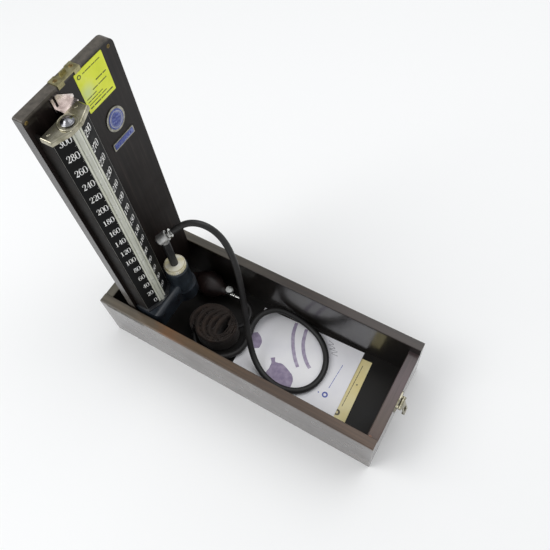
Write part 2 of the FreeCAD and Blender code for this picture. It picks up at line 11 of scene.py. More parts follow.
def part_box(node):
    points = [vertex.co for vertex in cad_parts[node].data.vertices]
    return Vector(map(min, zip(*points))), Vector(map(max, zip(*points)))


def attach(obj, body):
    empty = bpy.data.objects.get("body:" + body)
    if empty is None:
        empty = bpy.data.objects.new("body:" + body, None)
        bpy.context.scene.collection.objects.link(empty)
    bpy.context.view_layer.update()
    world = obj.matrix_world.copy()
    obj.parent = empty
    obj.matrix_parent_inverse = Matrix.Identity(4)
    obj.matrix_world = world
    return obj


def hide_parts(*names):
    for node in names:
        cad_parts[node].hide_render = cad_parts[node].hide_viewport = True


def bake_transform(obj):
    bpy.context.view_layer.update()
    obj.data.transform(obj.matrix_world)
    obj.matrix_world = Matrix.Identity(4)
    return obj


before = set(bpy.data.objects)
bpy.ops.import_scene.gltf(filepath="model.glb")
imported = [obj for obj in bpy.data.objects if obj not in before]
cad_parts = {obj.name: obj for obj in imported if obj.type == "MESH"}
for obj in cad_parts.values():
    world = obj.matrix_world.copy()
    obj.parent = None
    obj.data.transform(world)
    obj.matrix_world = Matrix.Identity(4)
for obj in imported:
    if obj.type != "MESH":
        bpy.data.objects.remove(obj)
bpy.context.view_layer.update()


# The table top, the soft studio light and the camera.
# The table is a pale matt sheet; the light comes from a bright room and one large soft window.
def at(x, y, z):
    """Tray millimetres to the frame's metres."""
    return Vector((x / 1000 - 0.1905, y / 1000 - 0.070, z / 1000))


def shade(code):
    """An sRGB hex value as linear red, green, blue and alpha."""
    parts = [int(code[i:i + 2], 16) / 255 for i in (1, 3, 5)]
    return tuple(c / 12.92 if c <= 0.04045 else ((c + 0.055) / 1.055) ** 2.4
                 for c in parts) + (1.0,)


def add(tree, kind, inputs=(), stops=(), **settings):
    """Add a shader node with its settings, its colour stops and what feeds its sockets.

    Sockets are named or counted. A MapRange counts value, low, high, new low and new high; a
    Mix counts its share as 0 and its two sides as 2 and 3, or as 6 and 7 for colours.
    """
    made = tree.nodes.new("ShaderNode" + kind)
    for name, value in settings.items():
        setattr(made, name, value)
    if stops:
        band = made.color_ramp.elements
        band.remove(band[1])
        band[0].position, band[0].color = stops[0]
        for place, colour in stops[1:]:
            band.new(place).color = colour
    for key, value in dict(inputs).items():
        if isinstance(value, bpy.types.NodeSocket):
            tree.links.new(value, made.inputs[key])
        else:
            made.inputs[key].default_value = value
    return made


def surface(name, **sockets):
    """A new material with one principled shader; words in a socket's name are joined by _."""
    material = bpy.data.materials.new(name)
    material.use_nodes = True
    tree = material.node_tree
    tree.nodes.clear()
    shader = add(tree, "BsdfPrincipled", {k.replace("_", " "): v for k, v in sockets.items()})
    add(tree, "OutputMaterial", {"Surface": shader.outputs[0]})
    return material, tree, shader


def deselect():
    """Let go of everything, because an operator acts on all that is selected."""
    bpy.ops.object.select_all(action="DESELECT")


deselect()
bpy.ops.mesh.primitive_plane_add(size=6, location=(0, 0, 0))
table = bpy.context.object
table.name = "table_top"
material, tree, shader = surface("matt_table_paper", Roughness=0.85)
shader.inputs["Base Color"].default_value = shade("#f8f8f7")
table.data.materials.append(material)

LAMP_AIM = Vector((0.0, 0.0, 0.1))
for name, place, size, watts in (("window_light", (-1.1, -0.9, 1.7), 1.3, 17.0),
                                 ("ceiling_light", (0.5, 1.0, 1.9), 1.6, 13.0)):
    lamp = bpy.data.lights.new(name, "AREA")
    lamp.size, lamp.energy = size, watts
    holder = bpy.data.objects.new(name, lamp)
    bpy.context.scene.collection.objects.link(holder)
    holder.location = place
    holder.rotation_euler = (LAMP_AIM - Vector(place)).to_track_quat("-Z", "Y").to_euler()
room = bpy.data.worlds.new("bright_room")
bpy.context.scene.world = room
room.use_nodes = True
room.node_tree.nodes["Background"].inputs["Color"].default_value = shade("#f3f5f8")
room.node_tree.nodes["Background"].inputs["Strength"].default_value = 0.66
bpy.context.scene.view_settings.view_transform = "Standard"

lens = bpy.data.cameras.new("camera")
lens.sensor_width, lens.lens = 36.0, 39.54
lens.shift_y = -0.0387
lens.clip_start = 0.02
camera = bpy.data.objects.new("camera", lens)
bpy.context.scene.collection.objects.link(camera)
camera.location = at(413.3, -162.0, 751.7)
camera.rotation_euler = [math.radians(a) for a in (31.286, 4.408, 30.315)]
bpy.context.scene.camera = camera


# The air hose: black rubber tube, eight millimetres thick, that leaves the elbow's nozzle,
# arches over the tray, lies in one loop on the papers and curls round the cuff into its roll.
def cord_line(name, points):
    """A smooth open NURBS curve with the points as its control points."""
    line = bpy.data.curves.new(name, "CURVE")
    line.dimensions = "3D"
    spline = line.splines.new("NURBS")
    spline.points.add(len(points) - 1)
    for spot, point in zip(spline.points, points):
        spot.co = (*at(*point), 1.0)
    spline.order_u, spline.use_endpoint_u, spline.resolution_u = 3, True, 10
    made = bpy.data.objects.new(name, line)
    bpy.context.scene.collection.objects.link(made)
    return made


def rubber(name, base, dust, grain_mm):
    """Moulded black rubber: matt, a little dusty where it has been handled."""
    material, tree, shader = surface(name, Roughness=0.5, IOR=1.52)
    place = add(tree, "TexCoord").outputs["Object"]
    cloud = add(tree, "TexNoise", {"Vector": place, "Scale": 45.0, "Detail": 4.0})
    fine = add(tree, "TexNoise", {"Vector": place, "Scale": 1000 / grain_mm, "Detail": 2.0})
    tone = add(tree, "ValToRGB", {"Fac": cloud.outputs[0]},
               stops=[(0.35, shade(base)), (0.72, shade(dust))])
    rough = add(tree, "MapRange", {"Value": cloud.outputs[0], 3: 0.36, 4: 0.62})
    bump = add(tree, "Bump", {"Height": fine.outputs[0], "Strength": 0.25, "Distance": 0.0002})
    tree.links.new(tone.outputs[0], shader.inputs["Base Color"])
    tree.links.new(rough.outputs[0], shader.inputs["Roughness"])
    tree.links.new(bump.outputs[0], shader.inputs["Normal"])
    return material


HOSE_WIDE = 0.008
hose_route = [
    (80.7, 85.4, 184.0), (86.3, 92.5, 188.1), (94.5, 100.7, 191.0), (106.5, 106.9, 189.7),
    (119.3, 110.9, 181.3), (130.7, 112.0, 166.5), (140.5, 109.0, 148.0), (148.5, 103.5, 126.0),
    (155.5, 96.0, 102.5), (163.0, 86.0, 78.5), (171.0, 73.5, 55.5), (180.5, 60.5, 36.5),
    (191.5, 48.5, 22.5), (206.5, 38.0, 14.0), (224.0, 31.5, 11.6), (243.0, 29.8, 11.4),
    (264.0, 36.0, 11.4), (278.5, 52.5, 11.4), (282.0, 75.0, 11.4), (274.0, 97.0, 11.4),
    (256.0, 114.0, 11.6), (232.0, 121.8, 14.0), (209.5, 122.8, 19.5), (188.5, 120.0, 24.0),
    (172.5, 106.0, 22.5), (167.5, 88.5, 18.5), (171.5, 68.5, 13.0), (172.0, 49.5, 12.0),
    (161.0, 33.5, 12.5), (145.0, 23.5, 13.5), (126.5, 21.6, 14.5), (113.2, 27.8, 15.2),
    (105.5, 38.0, 15.5),
]
hose_line = cord_line("hose_line", hose_route)
bare = bpy.data.meshes.new_from_object(hose_line)
hose_line.data.bevel_depth = HOSE_WIDE / 2
hose_line.data.bevel_resolution = 6
hose_line.data.use_fill_caps = True
tube = bpy.data.meshes.new_from_object(hose_line)
bpy.data.objects.remove(hose_line)
hose = bpy.data.objects.new("rubber_air_hose", tube)
bpy.context.scene.collection.objects.link(hose)
hose_rubber = rubber("black_rubber_hose", "#0f0e0e", "#242221", 0.5)
tube.materials.clear()
tube.materials.append(hose_rubber)
for face in tube.polygons:
    face.use_smooth = True
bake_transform(hose)
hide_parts("air_hose")


# The bulb's own tube: a short length of thinner rubber from the release valve into the cuff.
BULB_TUBE_WIDE = 0.0055
bulb_route = [(134.0, 109.0, 24.0), (146.0, 108.5, 23.5), (157.5, 101.0, 22.5),
              (162.0, 88.5, 21.5), (158.0, 76.0, 20.5), (147.0, 67.5, 20.0)]
short_tube = cord_line("rubber_bulb_tube", bulb_route)
bare = bpy.data.meshes.new_from_object(short_tube)
short_tube.data.bevel_depth = BULB_TUBE_WIDE / 2
short_tube.data.bevel_resolution = 5
short_tube.data.use_fill_caps = True
short_tube.data.materials.append(hose_rubber)
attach(short_tube, "case")
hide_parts("bulb_tube")


# The tray: square boards of dark-stained hardwood under old gloss varnish. The rims are rubbed
# through to brown wood, the rear rim and the rear end of the right rim are darkened with painted
# shadow, and the inside is painted nearly black.
def wear(material, *nodes):
    """Give CAD nodes a material."""
    for node in nodes:
        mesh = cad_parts[node].data
        mesh.materials.clear()
        mesh.materials.append(material)


VARNISH_COAT, BARE_COAT = 0.8, 0.28


def stained_board(name, along, stain, rim_wear_and_shade, rim, inner=None, gloss=0.22, chip=None,
                  shine=0.5, fading=False):
    """Varnished hardwood. Grain runs along one axis; above rim the stain is rubbed away.

    The rim colours are (tray millimetres along the board, colour) pairs: rubbed wood, with painted
    shadow on the rear and right rims and a painted reflection on the lid's top edge. A fading
    varnish is still glossy on the board's sides and near its top, and dull lower down.
    """
    material, tree, shader = surface(name, IOR=1.5, Specular_IOR_Level=shine, Coat_IOR=1.6,
                                     Coat_Roughness=0.16)
    where = add(tree, "TexCoord")
    spread = [240.0, 240.0, 240.0]
    spread[along] = 9.0
    stretched = add(tree, "Mapping", {"Vector": where.outputs["Object"], "Scale": spread})
    grain = add(tree, "TexNoise", {"Vector": stretched.outputs[0], "Scale": 1.0,
                                   "Detail": 6.0, "Roughness": 0.62}).outputs[0]
    cloud = add(tree, "TexNoise", {"Vector": where.outputs["Object"], "Scale": 26.0,
                                   "Detail": 5.0, "Roughness": 0.6}).outputs[0]
    body = add(tree, "ValToRGB", {"Fac": grain},
               stops=[(0.3, shade(stain[0])), (0.55, shade(stain[1])), (0.75, shade(stain[2]))])
    facing = add(tree, "SeparateXYZ", {0: where.outputs["Normal"]})
    level = add(tree, "SeparateXYZ", {0: where.outputs["Object"]})
    first, last = (at(mm, mm, mm)[along] for mm in (rim_wear_and_shade[0][0], rim_wear_and_shade[-1][0]))
    reach = add(tree, "MapRange", {"Value": level.outputs[along], 1: first, 2: last}).outputs[0]
    reach = add(tree, "Math", {0: cloud, 1: 0.22, 2: reach}, operation="MULTIPLY_ADD").outputs[0]
    reach = add(tree, "Math", {0: reach, 1: 0.11}, operation="SUBTRACT").outputs[0]
    whole = rim_wear_and_shade[-1][0] - rim_wear_and_shade[0][0]
    # The rim colour along the board: rubbed wood, with painted shadow on the rear and right rims
    # and a painted reflection on the lid's top edge.
    bare = add(tree, "ValToRGB", {"Fac": reach},
               stops=[((mm - rim_wear_and_shade[0][0]) / whole, shade(tone)) for mm, tone in rim_wear_and_shade]).outputs[0]
    streak = add(tree, "MapRange", {"Value": grain, 1: 0.3, 2: 0.7, 3: 0.62, 4: 1.25}).outputs[0]
    rubbed = add(tree, "VectorMath", {0: bare, "Scale": streak}, operation="SCALE").outputs[0]
    up = add(tree, "MapRange", {"Value": facing.outputs[2], 1: 0.35, 2: 0.8}).outputs[0]
    ragged = add(tree, "Math", {0: cloud, 1: 0.004}, operation="MULTIPLY").outputs[0]
    height = add(tree, "Math", {0: level.outputs[2], 1: ragged}, operation="ADD").outputs[0]
    edge = add(tree, "MapRange", {"Value": height, 1: rim - 0.0012, 2: rim + 0.0012}).outputs[0]
    bared = add(tree, "Math", {0: up, 1: edge}, operation="MAXIMUM").outputs[0]
    colour = add(tree, "Mix", {0: bared, 6: body.outputs[0], 7: rubbed},
                 data_type="RGBA").outputs[2]
    scuffs = add(tree, "TexNoise", {"Vector": stretched.outputs[0], "Scale": 5.0,
                                    "Detail": 3.0}).outputs[0]
    scratch = add(tree, "MapRange", {"Value": scuffs, 1: 0.7, 2: 0.76, 4: 0.5}).outputs[0]
    colour = add(tree, "Mix", {0: scratch, 6: colour, 7: rubbed}, data_type="RGBA").outputs[2]
    if chip:
        place, size, raw = chip
        away = add(tree, "VectorMath", {0: where.outputs["Object"], 1: at(*place)},
                   operation="DISTANCE").outputs["Value"]
        torn = add(tree, "Math", {0: cloud, 1: size * 0.9, 2: away},
                   operation="MULTIPLY_ADD").outputs[0]
        spot = add(tree, "MapRange", {"Value": torn, 1: size, 2: size * 1.2, 3: 1.0, 4: 0.0})
        colour = add(tree, "Mix", {0: spot.outputs[0], 6: colour, 7: shade(raw)},
                     data_type="RGBA").outputs[2]
    rough = add(tree, "MapRange", {"Value": cloud, 1: 0.3, 2: 0.7, 3: gloss, 4: gloss + 0.16})
    dull = add(tree, "Mix", {0: bared, 2: rough.outputs[0], 3: 0.42}, data_type="FLOAT").outputs[0]
    if inner:
        inward = add(tree, "VectorMath", {0: where.outputs["Normal"], 1: inner},
                     operation="DOT_PRODUCT").outputs["Value"]
        lined = add(tree, "MapRange", {"Value": inward, 1: 0.5, 2: 0.9}).outputs[0]
        paint = add(tree, "ValToRGB", {"Fac": cloud},
                    stops=[(0.35, shade("#110e0c")), (0.7, shade("#231d19"))])
        colour = add(tree, "Mix", {0: lined, 6: colour, 7: paint.outputs[0]},
                     data_type="RGBA").outputs[2]
        dull = add(tree, "Mix", {0: lined, 2: dull, 3: 0.38}, data_type="FLOAT").outputs[0]
    coating = add(tree, "MapRange", {"Value": bared, 3: VARNISH_COAT, 4: BARE_COAT}).outputs[0]
    if fading:
        upper = add(tree, "MapRange", {"Value": level.outputs[2], 1: 0.2, 2: 0.41, 4: 0.35})
        across = add(tree, "Math", {0: facing.outputs[1]}, operation="ABSOLUTE").outputs[0]
        sides = add(tree, "MapRange", {"Value": across, 1: 0.5, 2: 0.9}).outputs[0]
        coating = add(tree, "Mix", {0: sides, 2: upper.outputs[0], 3: VARNISH_COAT},
                      data_type="FLOAT").outputs[0]
    tree.links.new(coating, shader.inputs["Coat Weight"])
    bump = add(tree, "Bump", {"Height": grain, "Strength": 0.22, "Distance": 0.0003})
    tree.links.new(colour, shader.inputs["Base Color"])
    tree.links.new(dull, shader.inputs["Roughness"])
    tree.links.new(bump.outputs[0], shader.inputs["Normal"])
    return material


X, Y, Z = 0, 1, 2
TRAY_RIM, RIGHT_RIM = 0.0815, 0.069
walnut_stain = ("#1c110b", "#322117", "#4d3523")
front_rim = ((0, "#565042"), (70, "#5b4e3d"), (96, "#694a2e"), (150, "#544029"), (230, "#453324"),
             (381, "#4f3b2b"))
# The rear rim is lighter, bared wood at its left end and darkens from 190 mm on with painted shadow
# cast by something standing behind the tray.
rear_rim_wear_and_shadow = ((0, "#544e42"), (120, "#4b453b"), (190, "#2d231b"), (270, "#30221a"), (381, "#291e17"))
left_rim = ((0, "#585345"), (80, "#504a3d"), (140, "#484036"))
# The right rim darkens towards its rear end with the same painted shadow.
right_rim_wear_and_shadow = ((0, "#50372b"), (40, "#4a3a31"), (90, "#544244"), (140, "#2f2321"))
wear(stained_board("front_board_varnish", X, walnut_stain, front_rim, TRAY_RIM, inner=(0, 1, 0)),
     "front_wall")
wear(stained_board("rear_board_varnish", X, walnut_stain, rear_rim_wear_and_shadow, TRAY_RIM, inner=(0, -1, 0)),
     "rear_wall")
wear(stained_board("left_board_varnish", Y, walnut_stain, left_rim, TRAY_RIM, inner=(1, 0, 0)),
     "left_wall")
wear(stained_board("right_board_varnish", Y, walnut_stain, right_rim_wear_and_shadow, RIGHT_RIM, inner=(-1, 0, 0),
                   gloss=0.18, chip=((371.0, 14.0, 70.5), 0.0036, "#8a5330")), "right_wall")

material, tree, shader = surface("black_tray_paint", Roughness=0.4, Specular_IOR_Level=0.25)
place = add(tree, "TexCoord").outputs["Object"]
cloud = add(tree, "TexNoise", {"Vector": place, "Scale": 30.0, "Detail": 6.0, "Roughness": 0.6})
dusty = add(tree, "ValToRGB", {"Fac": cloud.outputs[0]},
            stops=[(0.35, shade("#0f0d0b")), (0.62, shade("#1b1815")), (0.8, shade("#2b2622"))])
rough = add(tree, "MapRange", {"Value": cloud.outputs[0], 3: 0.3, 4: 0.6})
tree.links.new(dusty.outputs[0], shader.inputs["Base Color"])
tree.links.new(rough.outputs[0], shader.inputs["Roughness"])
wear(material, "floor_board")


# The pivot hardware and the screws: nickelled steel and brass, dulled, with patches of tarnish.
def metal(name, bright, tarnish, rough, blotch_mm):
    """Plated or bare metal with patches of tarnish; the patches are duller than the rest."""
    material, tree, shader = surface(name, Metallic=1.0)
    place = add(tree, "TexCoord").outputs["Object"]
    cloud = add(tree, "TexNoise", {"Vector": place, "Scale": 1000 / blotch_mm, "Detail": 6.0,
                                   "Roughness": 0.65}).outputs[0]
    tone = add(tree, "ValToRGB", {"Fac": cloud},
               stops=[(0.42, shade(bright)), (0.68, shade(tarnish))])
    dull = add(tree, "MapRange", {"Value": cloud, 1: 0.35, 2: 0.7, 3: rough, 4: rough + 0.22})
    fine = add(tree, "TexNoise", {"Vector": place, "Scale": 1400.0, "Detail": 2.0})
    bump = add(tree, "Bump", {"Height": fine.outputs[0], "Strength": 0.12, "Distance": 0.0001})
    tree.links.new(tone.outputs[0], shader.inputs["Base Color"])
    tree.links.new(dull.outputs[0], shader.inputs["Roughness"])
    tree.links.new(bump.outputs[0], shader.inputs["Normal"])
    return material


strip_steel = metal("dulled_steel_strip", "#5d574d", "#2f2a26", 0.35, 6.0)
nickel = metal("aged_nickel_plate", "#b3ae9b", "#77735c", 0.2, 11.0)
old_brass = metal("dulled_brass", "#8d7a4d", "#4a3f2a", 0.32, 3.0)
wear(strip_steel, "front_pivot_strip", "rear_pivot_strip", "front_pivot_pin", "rear_pivot_pin")
wear(nickel, "clasp_base", "clasp_pin", "clasp_hasp")
wear(old_brass, "clasp_screws", "strike_screws", "lid_corner_screws")


# The lid board: the same wood, stained nearly black, under a thinner satin varnish. The varnish has
# scuffed dull lower down and stays glossy on the board's sides and near its top. Its top edge is
# painted grey: dust with a painted reflection.
LID_RIM = 0.4156
wear(stained_board("lid_board_varnish", Z, ("#120e0c", "#1b1513", "#2b2320"),
                   ((50, "#1d1815"), (250, "#2d2724"), (416, "#524d46")), LID_RIM, gloss=0.4,
                   shine=0.1, fading=True), "lid_board")
wear(metal("yellowed_nickel", "#a7a07a", "#6d6747", 0.26, 8.0), "strike_plate")


# The inspection sticker: a bright yellow plastic label with faded printing.
# The printing is thin bars that stand for lines of words, and one small ring.
def bar(u0, v0, u1, v1, wide):
    """A straight printed bar as one four-sided outline."""
    a, b = Vector((u0, v0)), Vector((u1, v1))
    side = (b - a).orthogonal().normalized() * wide / 2
    return [[a + side, a - side, b - side, b + side]]


def ring(u, v, inner, outer, steps=28, squeeze=1.0):
    """A printed ring, as a row of four-sided outlines."""
    turn = [(math.cos(2 * math.pi * i / steps), math.sin(2 * math.pi * i / steps))
            for i in range(steps + 1)]
    return [[Vector((u + c * r * squeeze, v + s * r)) for (c, s), r in
             ((p, inner), (p, outer), (q, outer), (q, inner))] for p, q in zip(turn, turn[1:])]


WORD_GAP = 0.35


def words(u0, v0, u1, v1, tall, parts):
    """A line of print, as bars that share its length by their parts, with gaps between."""
    a, b = Vector((u0, v0)), Vector((u1, v1))
    outlines, total, place = [], sum(parts) + WORD_GAP * (len(parts) - 1), 0.0
    for part in parts:
        start, end = a.lerp(b, place / total), a.lerp(b, (place + part) / total)
        outlines += bar(start.x, start.y, end.x, end.y, tall)
        place += part + WORD_GAP
    return outlines


def printed(name, outlines, onto, pigment, body):
    """One mesh of flat printed shapes; onto() lays a point of an outline on its surface."""
    spots, faces = [], []
    for outline in outlines:
        faces.append(range(len(spots), len(spots) + len(outline)))
        spots += [onto(p.x, p.y) for p in outline]
    mesh = bpy.data.meshes.new(name)
    mesh.from_pydata(spots, [], faces)
    mesh.validate()
    made = bpy.data.objects.new(name, mesh)
    bpy.context.scene.collection.objects.link(made)
    mesh.materials.append(pigment)
    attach(made, body)


def ink(name, dark, faded, rough=0.5):
    """Printing ink that has faded unevenly."""
    material, tree, shader = surface(name, Roughness=rough)
    place = add(tree, "TexCoord").outputs["Object"]
    cloud = add(tree, "TexNoise", {"Vector": place, "Scale": 160.0, "Detail": 3.0})
    tone = add(tree, "ValToRGB", {"Fac": cloud.outputs[0]},
               stops=[(0.35, shade(dark)), (0.7, shade(faded))])
    tree.links.new(tone.outputs[0], shader.inputs["Base Color"])
    return material


material, tree, shader = surface("yellow_vinyl_sticker", Roughness=0.34, IOR=1.46)
where = add(tree, "TexCoord").outputs["Object"]
cloud = add(tree, "TexNoise", {"Vector": where, "Scale": 55.0, "Detail": 3.0}).outputs[0]
tone = add(tree, "ValToRGB", {"Fac": cloud},
           stops=[(0.3, shade("#dbe52c")), (0.55, shade("#e6ee3c")), (0.8, shade("#edf07e"))])
faded = add(tree, "VectorMath", {0: where, 1: at(49.3, 81, 388)}, operation="DISTANCE")
patch = add(tree, "MapRange", {"Value": faded.outputs["Value"], 1: 0.002, 2: 0.011,
                               3: 0.75, 4: 0.0}).outputs[0]
tone = add(tree, "Mix", {0: patch, 6: tone.outputs[0], 7: shade("#d3e2a4")}, data_type="RGBA")
tree.links.new(tone.outputs[2], shader.inputs["Base Color"])
wear(material, "yellow_label")

LABEL_FACE = 49.35
label_ink = ink("faded_olive_ink", "#3f4514", "#7c8626")
lines = ring(79.0, 407.0, 1.2, 2.3)
lines += words(83.5, 407.2, 106.5, 407.2, 1.0, (2, 5, 3, 4))
for low, high, left, right, parts in ((392.2, 1.3, 94, 108, (4, 2)), (386.5, 1.1, 87, 106, (3, 5)),
                                      (382.4, 0.9, 77, 90, (4, 3)), (379.0, 0.9, 77, 97, (2, 4, 3)),
                                      (375.8, 0.9, 77, 101, (5, 2, 3)),
                                      (372.2, 1.5, 77, 108, (2, 4, 3, 4))):
    lines += words(left, low, right, low, high, parts)
printed("sticker_printing", lines, lambda u, v: at(LABEL_FACE, u, v), label_ink, "lid")


# The two enamel badges: pressed metal with a silvered rim round a field of blue enamel.
# The oval one has a ring and a plain wave pattern; the bar has small raised blocks.
badge_rim = metal("silvered_badge_rim", "#a9a79c", "#6c6a60", 0.25, 5.0)
wear(badge_rim, "oval_badge", "bar_badge")


def enamel(name, tones, chips=None, gloss=0.16, blotch=60.0, shine=0.5):
    """Fired or stoved enamel: glossy, with soft changes of depth and, if asked, small chips."""
    material, tree, shader = surface(name, Roughness=gloss, IOR=1.52, Specular_IOR_Level=shine)
    place = add(tree, "TexCoord").outputs["Object"]
    cloud = add(tree, "TexNoise", {"Vector": place, "Scale": blotch, "Detail": 4.0}).outputs[0]
    step = 0.4 / (len(tones) - 1)
    tone = add(tree, "ValToRGB", {"Fac": cloud},
               stops=[(0.3 + i * step, shade(t)) for i, t in enumerate(tones)]).outputs[0]
    rough = add(tree, "MapRange", {"Value": cloud, 1: 0.3, 2: 0.7, 3: gloss, 4: gloss + 0.18})
    if chips:
        bits = add(tree, "TexNoise", {"Vector": place, "Scale": 210.0, "Detail": 5.0,
                                      "Roughness": 0.7}).outputs[0]
        shown = add(tree, "MapRange", {"Value": bits, 1: 0.72, 2: 0.75}).outputs[0]
        tone = add(tree, "Mix", {0: shown, 6: tone, 7: shade(chips)}, data_type="RGBA").outputs[2]
    wavy = add(tree, "TexNoise", {"Vector": place, "Scale": 260.0, "Detail": 1.0})
    bump = add(tree, "Bump", {"Height": wavy.outputs[0], "Strength": 0.1, "Distance": 0.0003})
    tree.links.new(tone, shader.inputs["Base Color"])
    tree.links.new(rough.outputs[0], shader.inputs["Roughness"])
    tree.links.new(bump.outputs[0], shader.inputs["Normal"])
    return material


def finish_piece(made, material, body, replaced=()):
    """Put the object at the origin, smooth its gentle edges, and join it to its body."""
    deselect()
    made.select_set(True)
    bpy.context.view_layer.objects.active = made
    bpy.ops.object.transform_apply(location=True, rotation=True, scale=True)
    bpy.ops.object.shade_smooth_by_angle(angle=math.radians(32))
    made.data.materials.clear()
    made.data.materials.append(material)
    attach(made, body)
    if replaced:
        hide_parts(*replaced)


blue = enamel("blue_badge_enamel", ("#333f86", "#4a5798", "#6a76b0"), blotch=190.0)


def enamel_field(name, size, edge):
    """Bring the new primitive to its size, ease its edges and finish it as blue enamel."""
    field = bpy.context.object
    field.name = name
    field.scale = size
    bpy.ops.object.transform_apply(location=True, rotation=True, scale=True)
    bpy.ops.object.mode_set(mode="EDIT")
    bpy.ops.mesh.select_all(action="SELECT")
    bpy.ops.mesh.bevel(offset=edge, segments=2)
    bpy.ops.object.mode_set(mode="OBJECT")
    finish_piece(field, blue, "lid")


BADGE_Y, OVAL_Z, BAR_Z = 97.0, 341.0, 314.0
FIELD_X, WAVE_X, MARK_X = 50.1, 50.43, 50.45
OVAL_SQUEEZE, SPOKES = 0.88, 40
WAVE_STEPS, WAVE_HIGH, WAVE_TURN = 12, 0.8, 1.05
deselect()
bpy.ops.mesh.primitive_cylinder_add(vertices=64, radius=1.0, depth=0.0006,
                                    location=at(FIELD_X, BADGE_Y, OVAL_Z),
                                    rotation=(0, math.pi / 2, 0))
enamel_field("oval_badge_field", (0.0112, 0.0098, 1.0), 0.0002)
badge_white = ink("worn_badge_silver", "#9a9cab", "#c2c3cb", 0.3)
marks = ring(BADGE_Y, OVAL_Z, 8.6, 9.3, 56, OVAL_SQUEEZE)
for i in range(SPOKES):
    across, up = math.cos(2 * math.pi * i / SPOKES), math.sin(2 * math.pi * i / SPOKES)
    if abs(across) > 0.25:
        (u0, v0), (u1, v1) = ((BADGE_Y + OVAL_SQUEEZE * r * across, OVAL_Z + r * up)
                              for r in (7.4, 8.2))
        marks += bar(u0, v0, u1, v1, 0.55)
printed("oval_badge_marks", marks, lambda u, v: at(MARK_X, u, v), badge_white, "lid")
deep_blue = ink("deep_blue_enamel", "#22307c", "#3a49a0", 0.2)
waves = []
for row, half in ((OVAL_Z + 4, 4.0), (OVAL_Z, 5.2), (OVAL_Z - 4, 4.2)):
    for i in range(WAVE_STEPS):
        (u0, v0), (u1, v1) = ((BADGE_Y - half + 2 * half * k / WAVE_STEPS,
                               row + WAVE_HIGH * math.sin(k * WAVE_TURN)) for k in (i, i + 1))
        waves += bar(u0, v0, u1, v1, 1.5)
printed("oval_badge_waves", waves, lambda u, v: at(WAVE_X, u, v), deep_blue, "lid")
deselect()
bpy.ops.mesh.primitive_cube_add(size=1.0, location=at(FIELD_X, BADGE_Y, BAR_Z))
enamel_field("bar_badge_field", (0.0006, 0.0284, 0.0064), 0.00025)
blocks = []
for i, wide in enumerate((2.6, 1.4, 3.4, 2.0, 2.8, 1.6)):
    start = 85.2 + i * 4.1
    blocks += bar(start, BAR_Z, start + wide, BAR_Z, 2.6)
printed("bar_badge_blocks", blocks, lambda u, v: at(MARK_X, u, v), deep_blue, "lid")


# The scale column: a black enamelled sheet-metal case with two sloping plates. Numerals and
# marks are printed in white; even tens read on one side of the tube, odd tens on the other.
# A thin grey line is painted along each plate's outer edge as a painted edge highlight.
dark_enamel = enamel("stoved_black_enamel", ("#12100f", "#191614", "#231f1c"), "#4d4a45", 0.45,
                     shine=0.08)
plate_enamel = enamel("scale_plate_enamel", ("#0a0a0a", "#0e0e0e", "#141415"), None, 0.45, 90.0,
                      shine=0.12)
wear(dark_enamel, "column_case")
wear(plate_enamel, "scale_plate_left", "scale_plate_right")

